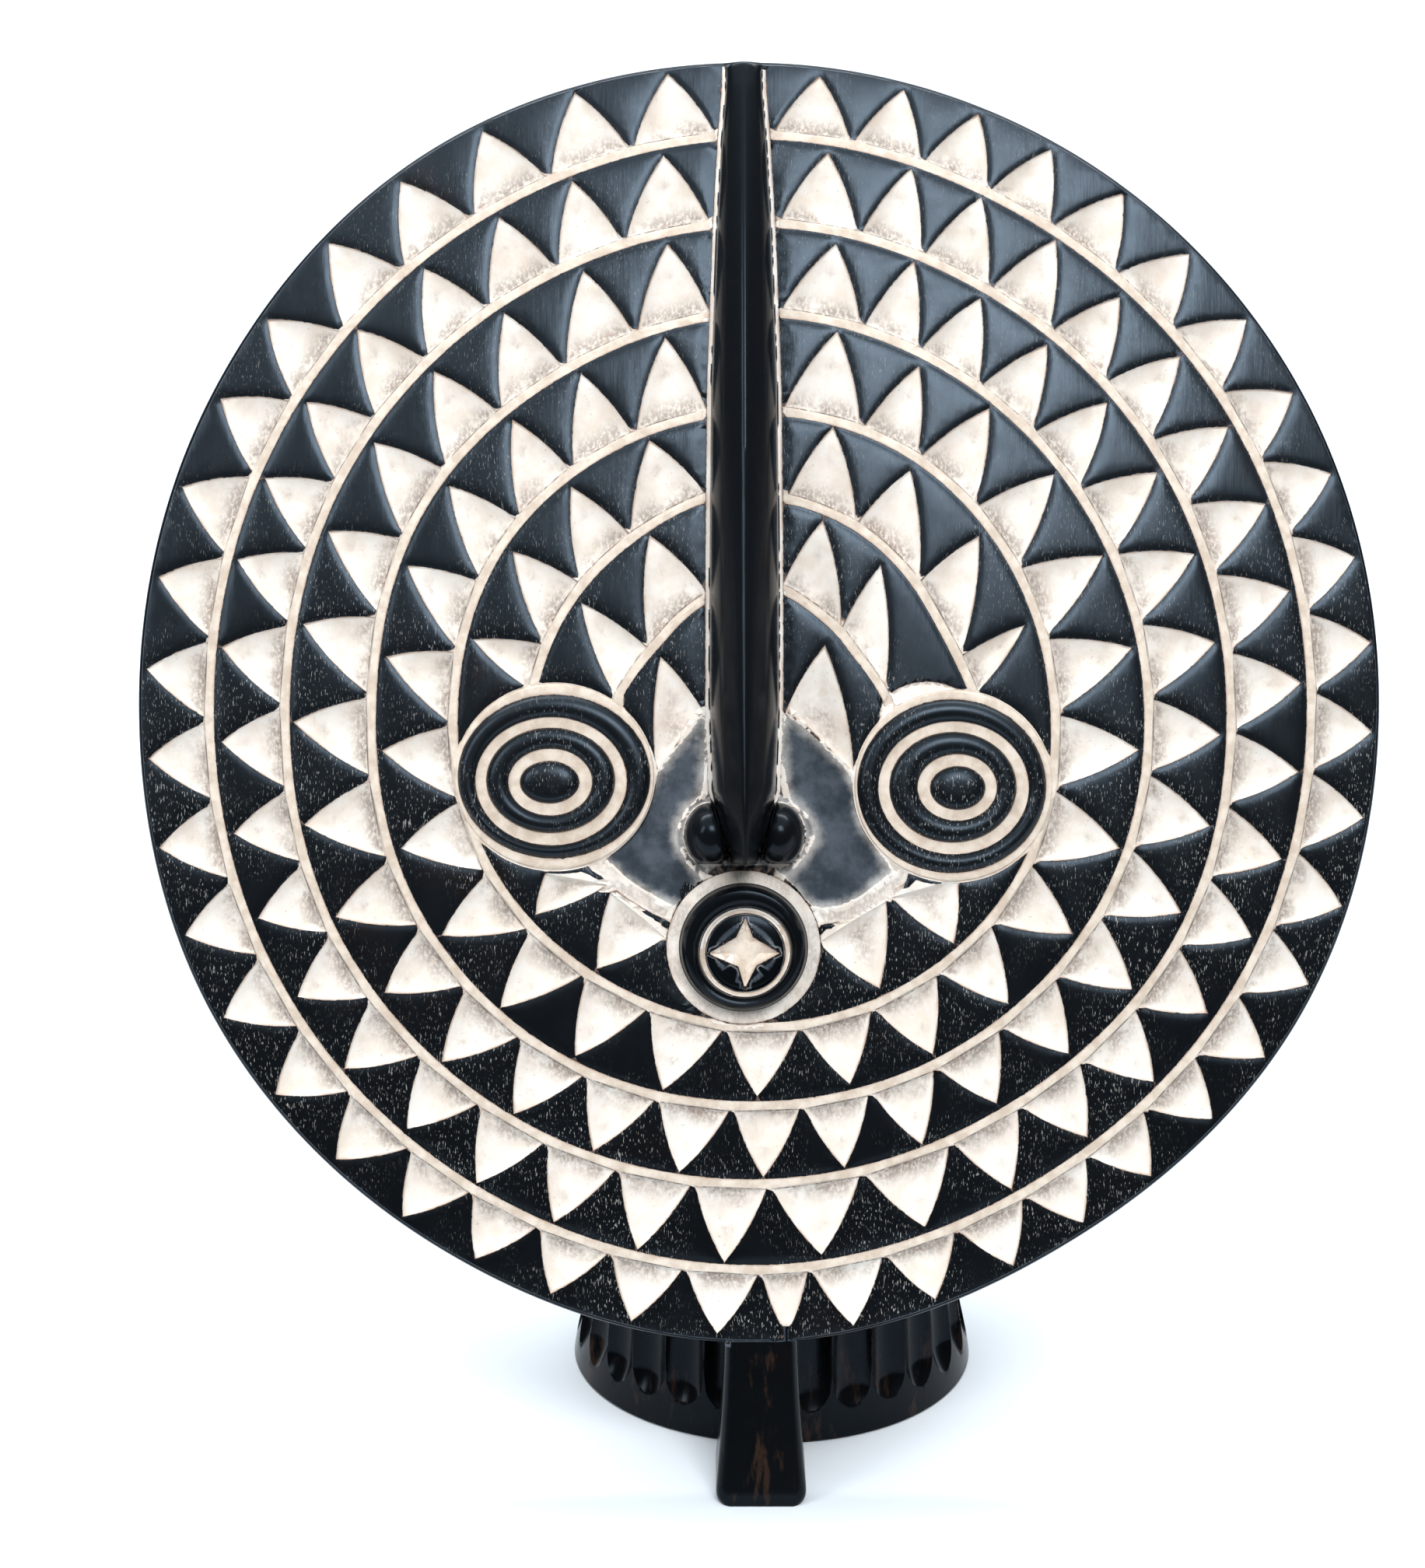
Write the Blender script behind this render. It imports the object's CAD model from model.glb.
import math

import bmesh
import bpy
import numpy as np
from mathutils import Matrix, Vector, kdtree
from mathutils.geometry import delaunay_2d_cdt


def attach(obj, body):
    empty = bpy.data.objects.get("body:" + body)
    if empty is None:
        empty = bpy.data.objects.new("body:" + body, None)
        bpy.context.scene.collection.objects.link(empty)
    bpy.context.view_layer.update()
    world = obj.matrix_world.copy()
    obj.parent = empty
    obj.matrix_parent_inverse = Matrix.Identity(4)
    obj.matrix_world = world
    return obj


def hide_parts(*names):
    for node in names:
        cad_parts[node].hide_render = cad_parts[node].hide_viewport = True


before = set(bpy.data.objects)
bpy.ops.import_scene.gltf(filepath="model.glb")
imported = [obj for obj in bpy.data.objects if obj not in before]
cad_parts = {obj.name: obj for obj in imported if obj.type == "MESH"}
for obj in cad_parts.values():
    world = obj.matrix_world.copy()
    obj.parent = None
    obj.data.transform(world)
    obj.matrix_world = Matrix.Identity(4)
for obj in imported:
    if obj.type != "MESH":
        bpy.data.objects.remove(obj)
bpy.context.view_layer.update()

# Sizes are in millimetres until a mesh is made. On the disc u runs to the right, v runs up
# the face and h stands out from it.
MM = 0.001
TURN = 2 * math.pi
LEAN = math.radians(17.5)
FACE_HEIGHT = 309.8
DISC_X = 0.5
DISC_Y = -13.1
chance = np.random.default_rng(11)

# The disc: swell of its face, rounding of its edge, thickness at the rim and in the middle, and
# the reach at which the curve of its back ends
DOME = 18.0
RIM_ROUND = 2.0
RIM_THICK = 13.0
MIDDLE_THICK = 24.0
BACK_REACH = 256.0


def clock(*hours):
    """Reach from the middle at the twelve clock hours, starting at the top and carried on past it."""
    return [(30 * i, hours[i % 12]) for i in range(-1, 14)]


RIM = {"line": clock(258, 255, 252, 250, 252.5, 251.5, 259, 256, 255, 251, 254, 259.5)}

# The four whole ring lines, outermost first, each with the triangles carved against it.
# cuts: number of a triangle and the angle where its foot starts, wherever the spacing changes.
# lean: how far tips lean over clockwise, as a share of the foot, everywhere alike, with the
# sine of the angle and with the sine of twice the angle.
# short: gap between tip and next line; touch: between these angles the tips all but meet it.
RINGS = [
    {"line": clock(227.5, 223, 222, 221.5, 224, 224, 228.5, 227.5, 225, 221.5, 222.5, 225),
     "cuts": [(0, 1.2), (1, 9.3), (4, 31.4), (11, 88.9), (14, 113.8), (19, 152), (22, 175.1), (23, 180),
              (28, 218), (35, 276.4), (44, 355.7)],
     "lean": (0.03, -0.06, 0), "short": 1.5, "touch": []},
    {"line": clock(191.5, 188, 187.5, 188.5, 193, 191.5, 193.5, 195.5, 195, 190.5, 190.5, 190.5),
     "cuts": [(0, 2.1), (1, 11.9), (2, 19.9), (4, 38), (8, 74.2), (10, 93.6), (14, 129.2), (17, 156.7),
              (19, 179), (28, 259.5), (30, 279.3), (33, 306.3), (36, 334.9), (37, 343.5), (38, 354.2)],
     "lean": (0.03, -0.1, -0.07), "short": 2, "touch": [(12, 34), (182, 211)]},
    {"line": clock(155, 152.5, 152, 155, 159.5, 161, 162, 164, 161.5, 155.5, 156, 153.5),
     "cuts": [(0, 2.7), (1, 15.2), (2, 24.2), (4, 45.2), (10, 111.5), (14, 154.6), (17, 184), (23, 247),
              (28, 306.5), (32, 352.9)],
     "lean": (0.06, -0.15, -0.08), "short": 2, "touch": [(16, 23), (155, 224)]},
    {"line": clock(115.5, 115, 114.5, 117, 124.5, 128.5, 130.5, 129, 127.5, 122.5, 120.5, 117),
     "cuts": [(0, 4), (1, 20.3), (2, 32.8), (6, 92.3), (8, 120.9), (13, 186.2), (14, 199.9), (17, 238.1),
              (24, 334.8), (25, 350)],
     "lean": (0.06, -0.22, -0.08), "short": 2, "touch": [(190, 199), (213, 224)]},
]
# A ring line: half width, how far it stands up, and the gap to the feet beside it
LINE_HALF = 2.0
LINE_PROUD = 0.3
FOOT_GAP = 0.2
# A carved triangle: gap to its neighbour as a share of its foot, least gap at its tip, swelling
# of its sides and foot, depth, depth of the upright wall, and where the gouge went deepest
TOOTH_GAP = 0.035
TIP_CLEAR = 0.5
SIDE_BULGE = 0.045
FOOT_BULGE = 0.012
TOOTH_DEEP = 4.6
TOOTH_WALL = 0.9
SCOOP_BIAS = 0.62
SCOOP_MOST = (1 / (2 + SCOOP_BIAS)) ** 2 * (SCOOP_BIAS / (2 + SCOOP_BIAS)) ** SCOOP_BIAS
# The plain wood between the cuts is a low cushion, rounded over near its edges
PILLOW = 0.9
PILLOW_EDGE = 1.7

# Arcs over the brow on each side of the ridge, in degrees from the top towards that side.
# line: reach of the arc; cuts: where the triangles' feet start and end; tips: angle and reach
BROW_ARCS = [
    {"right": {"line": [(5, 81), (28, 79), (50, 77.5), (65, 77.5), (77, 80), (90, 85.5)],
               "cuts": (7.3, 28.3, 52.8, 77, 88),
               "tips": [(14.8, 113), (33, 109.5), (53, 109), (74, 109.5)]},
     "left": {"line": [(16, 83.5), (37, 82.5), (56, 84.5), (75, 88), (86, 90.5)],
              "cuts": (14.7, 38, 56.7, 75.2, 87.5),
              "tips": [(23.2, 113), (41.6, 114), (59, 115.5), (78, 117.5)]}},
    {"right": {"line": [(10, 45), (30, 42), (48, 41.5), (65, 42.5), (80, 46.5), (93, 51.5)],
               "cuts": (10.3, 47.5, 84), "tips": [(19, 76), (41.5, 72)]},
     "left": {"line": [(27, 46), (45, 46), (60, 47), (75, 51), (88, 56.5)],
              "cuts": (26, 64.5, 88), "tips": [(34, 79.5), (61.5, 81.5)]}},
]
# Gap beside a triangle's foot on an arc, and how far an arc runs on past its ends, in degrees
ARC_GAP = 0.4
ARC_BEFORE = 4
ARC_BEYOND = 9
# Cream brow fold over the right eye: middle, half width and half height, then its depth
BROW_FOLD = (66.0, -6.0, 19.0, 13.5)
FOLD_DEEP = 0.5

# Single pockets about the cheeks: the two ends of the foot, then the tip
CHEEK_POCKETS = [
    ((9.5, -5), (37, -28.5), (25.5, 22)),
    ((-22.5, -5), (-41.5, -28.5), (-40, 17.5)),
    ((-86, -69), (-61, -73.5), (-90, -85.5)),
    ((-60, -76.5), (-38, -94.5), (-65.5, -107)),
    ((78.5, -71.5), (52, -78.5), (77, -97)),
    ((50, -80), (23, -96.5), (47.5, -115)),
]

# Smooth cheeks: corners of the panel, going round
CHEEKS = {
    "left": [(-22, -4.5), (-29, -12), (-41.5, -28), (-51, -45), (-63.7, -61.5), (-60, -66),
             (-51.8, -73.4), (-36.8, -82), (-30, -81.7), (-25, -76.6), (-22.5, -70.8), (-27.7, -65),
             (-32.6, -54.9), (-29.4, -44.8), (-22.6, -37), (-21.2, -20)],
    "right": [(9, -6), (15.2, -8), (25.3, -17.1), (37, -30.6), (41, -48), (52.9, -67.4),
              (51, -70.5), (45.4, -75), (37, -80.8), (25.3, -83.7), (18.5, -81.7), (13.5, -75.8),
              (8.5, -70), (14.5, -64), (20, -54.9), (17.6, -46.5), (10.4, -38.5), (8.0, -20)],
}
CHEEK_HOLLOW = 1.3
CHEEK_EDGE = 5.0
# The cream jaw under the cheeks: width, depth, its upper end and how far it goes to each side
JAW = 5.4
JAW_DEEP = 0.8
JAW_TOP = -57.0
JAW_ASIDE = 74.0

# Eyes: the rings of one eye share neither middle nor shape, so each knot gives
# share, middle u, middle v, half width, half height
EYES = [
    [(1.0, -82.2, -30.5, 39.7, 37.1), (0.94, -82.4, -30.3, 38.3, 32.3), (0.763, -83.5, -32.2, 30.3, 25.6),
     (0.65, -83.7, -31.8, 25.6, 20.8), (0.43, -83.8, -32.5, 16.8, 13.4), (0.295, -84.1, -32.6, 11.8, 8.35),
     (0.0, -84.1, -32.6, 0.0, 0.0)],
    [(1.0, 76.7, -34.1, 39.5, 38.1), (0.94, 75.9, -34.2, 37.6, 34.3), (0.763, 76.7, -34.8, 30.1, 26.5),
     (0.65, 76.4, -34.6, 25.3, 21.9), (0.43, 78.1, -34.6, 15.9, 13.3), (0.295, 78.3, -34.9, 11.0, 8.6),
     (0.0, 78.3, -34.9, 0.0, 0.0)],
]
# Section of an eye from its middle outwards: share, then height over the disc
EYE_SECTION = [
    (0, 4.0), (0.12, 3.9), (0.22, 3.4), (0.265, 2.5), (0.287, 1.6), (0.297, 0.9), (0.36, 0.8),
    (0.424, 0.9), (0.436, 1.6), (0.46, 2.9), (0.5, 3.7), (0.545, 3.9), (0.59, 3.6), (0.625, 2.8),
    (0.643, 1.8), (0.652, 0.9), (0.705, 0.8), (0.756, 0.9), (0.77, 1.7), (0.8, 3.0), (0.84, 3.6),
    (0.88, 3.4), (0.913, 2.6), (0.932, 1.6), (0.943, 0.8), (0.97, 0.9), (0.99, 0.7), (1.0, 0.0),
]
# Shares between which an eye is painted cream
EYE_PAINT = [(0.295, 0.43), (0.65, 0.763), (0.942, 1.02)]

# Mouth: its middle and reach, the middle of the sunk round in it, and the reach of the cream
# surround. Its section goes by distance from the middle, which slides from the inner middle to
# the outer one between two radii
MOUTH = {"u": -6.9, "v": -98.4, "radius": 25.4, "hole_u": -6.2, "hole_v": -100.5, "surround": 30.8}
MOUTH_SLIDE = (17, 23)
MOUTH_SECTION = [
    (0, 5.2), (8, 5.2), (13, 4.9), (15.0, 4.2), (15.9, 3.0), (17.0, 3.0), (18.0, 3.0), (18.6, 4.6),
    (19.4, 6.6), (20.4, 7.9), (21.6, 8.3), (22.9, 7.8), (24.1, 6.2), (25.0, 3.6), (25.4, 0),
]
MOUTH_PAINT = (15.9, 18.1)
# How deep the painted ground round the mouth and under the nose lies
GROUND_DEEP = 0.7
# Corners of the star in the mouth, from its middle, going round from the top
STAR = [
    (0, 14.4), (3, 6.6), (13.9, 0), (4.5, -4.9), (-0.2, -14.3), (-2.8, -5.4), (-15.1, -0.2), (-3.7, 6.6),
]
STAR_DEEP = 2.4

# Nose ridge: v, half width and height over the disc; then its section, as a share of the half
# width and a share of the height
RIDGE_U = -6.6
RIDGE = [
    (-64.6, 4.8, 37), (-50, 9, 36.5), (-36, 12.6, 35), (0, 13.9, 32), (60, 13.8, 27), (126, 13.2, 21),
    (188, 11, 15), (225, 9, 10.8), (246, 7.4, 8), (262, 6.9, 4.5),
]
RIDGE_SECTION = [
    (0, 1), (0.06, 0.99), (0.13, 0.96), (0.25, 0.9), (0.4, 0.81), (0.57, 0.71), (0.72, 0.6), (0.85, 0.44),
    (0.94, 0.25), (1, 0),
]
RIDGE_TOP = RIDGE[-1][0]
# The painted line along the foot of the ridge: width, depth and lower end
RIDGE_LINE = 1.7
RIDGE_LINE_DEEP = 0.3
RIDGE_LINE_END = -42
NOSTRIL = {"out": 13.6, "v": -53.4, "wide": 10.4, "high": 12.6, "proud": 17.0}
NOSE_END = -64.6

# Chin block, widening to its foot
CHIN = {"u": 0.4, "top": -252.0, "wide_top": 14.6, "wide_foot": 18.8, "front": 1.5, "back": -36.0}

# Hood, set a little to the right of the disc: height, how far its middle lies behind the
# disc's, half width, half depth
HOOD_U = 7.0
HOOD = [
    (0, 39, 87.5, 86.5), (6, 38.8, 86.8, 86), (24, 38, 83, 84.5), (48, 36, 79.5, 83), (76, 34, 78, 81),
    (120, 33, 78, 78), (180, 37, 76, 70), (240, 42, 71, 61), (285, 46, 62, 48), (318, 48, 48, 34),
    (338, 49, 31, 20), (347, 49, 12, 8),
]
# Wall of the hood; height where the hollow starts to close in, its top and how much it closes;
# how far it stays behind the back of the disc, and how far behind its middle that may push it
WALL = 13.0
HOLLOW_CLOSES = 235
HOLLOW_TOP = 318
HOLLOW_SHRINK = 0.25
HOLLOW_SKIN = 3
HOLLOW_FRONT = 20
# Gouge cuts round the collar: how many, turned by so many degrees, height of their middle and
# how much shorter they are below it; how far back their ring lies and its radius; radius of one
# cut, its length as a share of its width, and how far it leans in, in radians
FLUTES = 28
FLUTE_TURN = -2.3
FLUTE_MIDDLE = 22.0
FLUTE_BELOW = 0.27
FLUTE_BACK = 36
FLUTE_RING = 90.3
FLUTE_RADIUS = 12.5
FLUTE_STRETCH = 6.0
FLUTE_LEAN = -0.105

# Marks that the mesh carries for the material. paint: how far inside the paint, in millimetres;
# deep: dirt held in a cut, or below 0 the finish of wood with no paint; rail: distance from the
# middle of a ring line
UNPAINTED = -6.0
POLISHED = -1.0
SLATE = -0.45
OFF_LINE = 12.0
CREAM_BAND = 1.0
BARE = (("paint", UNPAINTED), ("deep", POLISHED), ("rail", OFF_LINE))
# Stands for a measure at a point where its form is absent
ABSENT = -9.0

# Length of a straight piece along a drawn line, spacing of the plain filling and how far it goes
STEP = 2.6
FILLING = 3.8
FILL_REACH = 270


def place(u, v, h):
    """From the disc's own frame to the place in the mask, in millimetres."""
    u, v, h = np.broadcast_arrays(np.asarray(u, float), np.asarray(v, float), np.asarray(h, float))
    x = u + DISC_X
    y = v * math.sin(LEAN) - h * math.cos(LEAN) + DISC_Y
    z = FACE_HEIGHT + v * math.cos(LEAN) + h * math.sin(LEAN)
    return np.stack([x, y, z], axis=-1)


def smooth(marks, x):
    """Value at x on a smooth run from mark to mark."""
    at, value = np.array(marks, float).T
    slope = np.empty(len(at))
    slope[1:-1] = (value[2:] - value[:-2]) / (at[2:] - at[:-2])
    slope[0] = (value[1] - value[0]) / (at[1] - at[0])
    slope[-1] = (value[-1] - value[-2]) / (at[-1] - at[-2])
    k = np.clip(np.searchsorted(at, x), 1, len(at) - 1)
    step = at[k] - at[k - 1]
    t = np.clip((x - at[k - 1]) / step, 0, 1)
    s = 1 - t
    level = value[k - 1] * (1 + 2 * t) * s * s + value[k] * t * t * (3 - 2 * t)
    return level + step * t * s * (slope[k - 1] * s - slope[k] * t)


def reach(ring, angle):
    """How far a line lies from the middle at an angle, clockwise from the top."""
    return smooth(ring["line"], np.degrees(np.asarray(angle, float)) % 360)


def on_disc(radius, angle):
    """The point at a distance from the middle and an angle, clockwise from the top."""
    return np.stack([radius * np.sin(angle), radius * np.cos(angle)], axis=-1)


def swell(u, v):
    """Height of the disc's face before it is carved."""
    share = np.hypot(u, v) / reach(RIM, np.arctan2(u, v))
    return DOME * (1 - np.minimum(share, 1.05) ** 2)


def between(table, x, column):
    """Value in one column of a table, straight from row to row."""
    rows = np.array(table, float)
    return np.interp(x, rows[:, 0], rows[:, column])


def pocket_outline(foot_a, foot_b, tip):
    """Outline going foot_a, tip, foot_b and back along the foot, with swelling sides."""
    heart = (np.array(foot_a) + np.array(foot_b) + np.array(tip)) / 3

    def side(p, q, amount):
        p, q = np.array(p, float), np.array(q, float)
        length = np.hypot(*(q - p))
        count = max(4, int(round(length / STEP)))
        s = np.linspace(0, 1, count + 1)[:-1, None]
        away = (p + q) / 2 - heart
        away = away / np.hypot(*away)
        return p + (q - p) * s + away * (4 * s * (1 - s) * amount * length)

    sides = [side(foot_a, tip, SIDE_BULGE), side(tip, foot_b, SIDE_BULGE)]
    return sides, side(foot_b, foot_a, FOOT_BULGE)


def ring_pockets(ring, outer, clear):
    """The triangles that stand on a ring line and point at the next line out."""
    pockets = []
    alike, once, twice = ring["lean"]
    for n in range(ring["cuts"][-1][0]):
        a, b = np.radians(between(ring["cuts"], [n, n + 1], 1))
        gap = (b - a) * TOOTH_GAP
        middle = (a + b) / 2
        lean = alike + once * math.sin(middle) + twice * math.sin(2 * middle) + chance.normal(0, 0.012)
        tip_at = middle + lean * (b - a)
        meets = any(low < math.degrees(middle) < high for low, high in ring["touch"])
        short = TIP_CLEAR if meets else max(ring["short"] + chance.normal(0, 0.5), TIP_CLEAR)
        tall = float(reach(outer, tip_at)) - clear - short - float(reach(ring, tip_at))
        foot = LINE_HALF + FOOT_GAP
        foot_a = on_disc(float(reach(ring, a + gap)) + foot, a + gap)
        foot_b = on_disc(float(reach(ring, b - gap)) + foot, b - gap)
        tip = on_disc(float(reach(ring, tip_at)) + tall, tip_at)
        deep_at = middle * 0.9 + tip_at * 0.1
        deepest = on_disc(float(reach(ring, middle)) + foot + tall * 0.2, deep_at)
        pockets.append((foot_a, foot_b, tip, deepest))
    return pockets


def arc_point(side, degrees, sign):
    """A point on a brow arc; sign is 1 on the right and -1 on the left."""
    p = on_disc(smooth(side["line"], degrees), np.radians(degrees))
    p[..., 0] *= sign
    return p


def grown(points, out):
    """Points moved straight away from the middle of the disc."""
    size = np.hypot(points[..., 0], points[..., 1])[..., None]
    return points * (1 + out / size)


def near_foot(a, b, tip):
    """Where a single triangle is deepest."""
    return (a + b) * 0.41 + tip * 0.18


def brow_pockets():
    pockets = []
    for arc in BROW_ARCS:
        for name, sign in (("right", 1), ("left", -1)):
            side = arc[name]
            for n, (tip_at, tip_reach) in enumerate(side["tips"]):
                a = grown(arc_point(side, side["cuts"][n] + ARC_GAP, sign), LINE_HALF + FOOT_GAP)
                b = grown(arc_point(side, side["cuts"][n + 1] - ARC_GAP, sign), LINE_HALF + FOOT_GAP)
                tip = on_disc(tip_reach, math.radians(tip_at)) * (sign, 1)
                pockets.append((a, b, tip, near_foot(a, b, tip)))
    return pockets


def cheek_pockets():
    pockets = []
    for a, b, tip in CHEEK_POCKETS:
        a, b, tip = np.array(a, float), np.array(b, float), np.array(tip, float)
        pockets.append((a, b, tip, near_foot(a, b, tip)))
    return pockets


class Pocket:
    """One carved triangle: its outline, its deepest point and the depth anywhere in it."""

    def __init__(self, foot_a, foot_b, tip, deepest):
        self.corners = [np.array(p, float) for p in (foot_a, foot_b, tip)]
        self.deepest = np.array(deepest, float)
        self.sides, foot = pocket_outline(foot_a, foot_b, tip)
        self.outline = np.vstack(self.sides + [foot])
        spoke = self.outline - self.deepest
        angle = np.arctan2(spoke[:, 1], spoke[:, 0])
        order = np.argsort(angle)
        self.angle = angle[order]
        self.far = np.hypot(spoke[:, 0], spoke[:, 1])[order]
        self.size = self.far.max()
        self.across = np.linalg.inv(np.vstack([np.array(self.corners).T, [1, 1, 1]]))

    def share(self, u, v):
        """0 at the outline, 1 at the deepest point, below 0 outside."""
        du, dv = u - self.deepest[0], v - self.deepest[1]
        at = np.arctan2(dv, du)
        edge = np.interp(at, self.angle, self.far, period=TURN)
        return 1 - np.hypot(du, dv) / edge

    def scoop(self, u, v):
        """0 along the straight sides, 1 at the bottom of the gouge stroke, which is near the foot."""
        near = np.clip(self.across @ np.stack([u, v, np.ones_like(u)]), 0, 1)
        return near[0] * near[1] * near[2] ** SCOOP_BIAS / SCOOP_MOST


def round_line(u, v, wide, high, count):
    """Points round an ellipse, clockwise from its top."""
    angle = np.linspace(0, TURN, count, endpoint=False)
    return np.stack([u + wide * np.sin(angle), v + high * np.cos(angle)], axis=-1)


def eye_share(u, v, eye):
    """0 at the middle of the pupil, 1 at the eye's outer edge."""
    knots = np.array(eye)[::-1]
    low, high = np.zeros_like(u), np.full_like(u, 1.4)
    for _ in range(18):
        held = (low + high) / 2
        cu, cv, half_wide, half_high = (np.interp(held, knots[:, 0], knots[:, k]) for k in (1, 2, 3, 4))
        beyond = np.maximum(held, 1.0)
        half_wide, half_high = half_wide * beyond + 1e-9, half_high * beyond + 1e-9
        outside = np.hypot((u - cu) / half_wide, (v - cv) / half_high) > 1
        low, high = np.where(outside, held, low), np.where(outside, high, held)
    return (low + high) / 2


def eye_loop(eye, share, count):
    """The line round an eye where its share has one value."""
    knots = np.array(eye)[::-1]
    cu, cv, wide, high = (np.interp(share, knots[:, 0], knots[:, k]) for k in (1, 2, 3, 4))
    if share > 1:
        wide, high = knots[-1, 3] * share, knots[-1, 4] * share
    return round_line(cu, cv, wide, high, count)


def mouth_mix(r):
    """0 where the mouth's section follows its inner middle, 1 where it follows its outer one."""
    near, far = MOUTH_SLIDE
    return np.clip((r - near) / (far - near), 0, 1)


def mouth_reach(u, v):
    r = np.hypot(u - MOUTH["u"], v - MOUTH["v"])
    inner = np.hypot(u - MOUTH["hole_u"], v - MOUTH["hole_v"])
    mix = mouth_mix(r)
    return inner * (1 - mix) + r * mix


def ridge_out(u, v):
    """Distance outside the foot of the nose ridge, below 0 on the ridge."""
    return np.abs(u - RIDGE_U) - between(RIDGE, v, 1)


def nostril_share(u, v):
    best = np.full_like(np.asarray(u, float), 9.0)
    for side in (-1, 1):
        du = (u - RIDGE_U - side * NOSTRIL["out"]) / NOSTRIL["wide"]
        dv = (v - NOSTRIL["v"]) / NOSTRIL["high"]
        best = np.minimum(best, np.hypot(du, dv))
    return best


def smooth_loop(corners, count=5):
    """A closed rounded line through the corners."""
    p = np.array(corners, float)
    n = len(p)
    out = []
    for i in range(n):
        p0, p1, p2, p3 = p[(i - 1) % n], p[i], p[(i + 1) % n], p[(i + 2) % n]
        for t in np.linspace(0, 1, count, endpoint=False):
            out.append(0.5 * (2 * p1 + (p2 - p0) * t + (2 * p0 - 5 * p1 + 4 * p2 - p3) * t ** 2
                              + (3 * p1 - p0 - 3 * p2 + p3) * t ** 3))
    return np.array(out)


def inside(loop, u, v):
    """Which points lie inside a closed loop."""
    hit = np.zeros(np.shape(u), bool)
    a, b = loop, np.roll(loop, -1, axis=0)
    for (x0, y0), (x1, y1) in zip(a, b):
        if y0 != y1:
            crosses = (y0 > v) != (y1 > v)
            hit ^= crosses & (u < (x1 - x0) * (v - y0) / (y1 - y0) + x0)
    return hit


def tree_of(points):
    tree = kdtree.KDTree(len(points))
    for i, p in enumerate(points):
        tree.insert((p[0], p[1], 0), i)
    tree.balance()
    return tree


def nearest(tree, u, v):
    """Distance from each point to the nearest one in the tree."""
    return np.array([tree.find((a, b, 0))[2] for a, b in zip(u, v)])


def dense(line, closed, step=0.6):
    """Extra points along a line."""
    pts = np.vstack([line, line[:1]]) if closed else np.asarray(line)
    out = []
    for p, q in zip(pts[:-1], pts[1:]):
        n = max(1, int(np.hypot(*(q - p)) / step))
        out.append(p + (q - p) * np.linspace(0, 1, n, endpoint=False)[:, None])
    return np.vstack(out)


class Drawing:
    """Points and lines on the face that the mesh has to follow."""

    def __init__(self):
        self.points = []
        self.edges = []

    def add(self, line, level, closed=True, joined=True):
        """Adds what no form of a higher level covers; unjoined points carry no edges."""
        line = np.asarray(line, float)
        keep = ~covered(line[:, 0], line[:, 1], level)
        index = np.full(len(line), -1)
        for i in np.nonzero(keep)[0]:
            index[i] = len(self.points)
            self.points.append(line[i])
        if joined:
            last = len(line) if closed else len(line) - 1
            for i in range(last):
                j = (i + 1) % len(line)
                if index[i] >= 0 and index[j] >= 0:
                    self.edges.append((index[i], index[j]))


def covered(u, v, level):
    """Points of a lower form that a higher one hides: 1 lines and triangles, 2 cheeks and
    borders, 3 ground of the mouth, 4 eyes, 5 mouth, 6 star, ridge and nostrils."""
    hidden = np.hypot(u, v) > reach(RIM, np.arctan2(u, v)) - RIM_ROUND - 0.6
    if level < 6:
        hidden |= (ridge_out(u, v) < 0.4) & (v > NOSE_END - 0.3)
        hidden |= (nostril_share(u, v) < 1.04) & (v > NOSE_END - 0.3)
    if level < 5:
        hidden |= np.hypot(u - MOUTH["u"], v - MOUTH["v"]) < MOUTH["radius"] + 0.3
    if level < 4:
        for eye in EYES:
            hidden |= eye_share(u, v, eye) < 1.025
    if level < 3:
        hidden |= np.hypot(u - MOUTH["u"], v - MOUTH["v"]) < MOUTH["surround"] + 0.3
    return hidden


# Lay out everything on the face
arcs = []
for arc in BROW_ARCS:
    for name, sign in (("right", 1), ("left", -1)):
        first, last = arc[name]["cuts"][0], arc[name]["cuts"][-1]
        arcs.append(arc_point(arc[name], np.linspace(first - ARC_BEFORE, last + ARC_BEYOND, 50), sign))
pockets = []
for k, ring in enumerate(RINGS):
    outer = RIM if k == 0 else RINGS[k - 1]
    pockets += [Pocket(*p) for p in ring_pockets(ring, outer, RIM_ROUND if k == 0 else LINE_HALF)]
pockets += [Pocket(*p) for p in brow_pockets() + cheek_pockets()]
cheeks = [smooth_loop(corners) for corners in CHEEKS.values()]
star = np.array([MOUTH["hole_u"], MOUTH["hole_v"]]) + np.array(STAR, float)


def star_share(u, v):
    """0 along the edge of the star in the mouth, 1 at its middle, below 0 outside."""
    du, dv = u - MOUTH["hole_u"], v - MOUTH["hole_v"]
    fine = dense(np.array(STAR, float), True, 0.4)
    angle = np.arctan2(fine[:, 1], fine[:, 0])
    order = np.argsort(angle)
    far = np.hypot(fine[:, 0], fine[:, 1])[order]
    edge = np.interp(np.arctan2(dv, du), angle[order], far, period=TURN)
    return 1 - np.hypot(du, dv) / edge


def ring_line(ring, out):
    count = int(TURN * float(reach(ring, 0)) / STEP)
    angle = np.linspace(0, TURN, count, endpoint=False)
    return on_disc(reach(ring, angle) + out, angle)


def brow_fold(u, v):
    """Distance inside the edge of the cream fold over the right eye."""
    mu, mv, wide, high = BROW_FOLD
    return (1 - np.hypot((u - mu) / wide, (v - mv) / high)) * high


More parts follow.
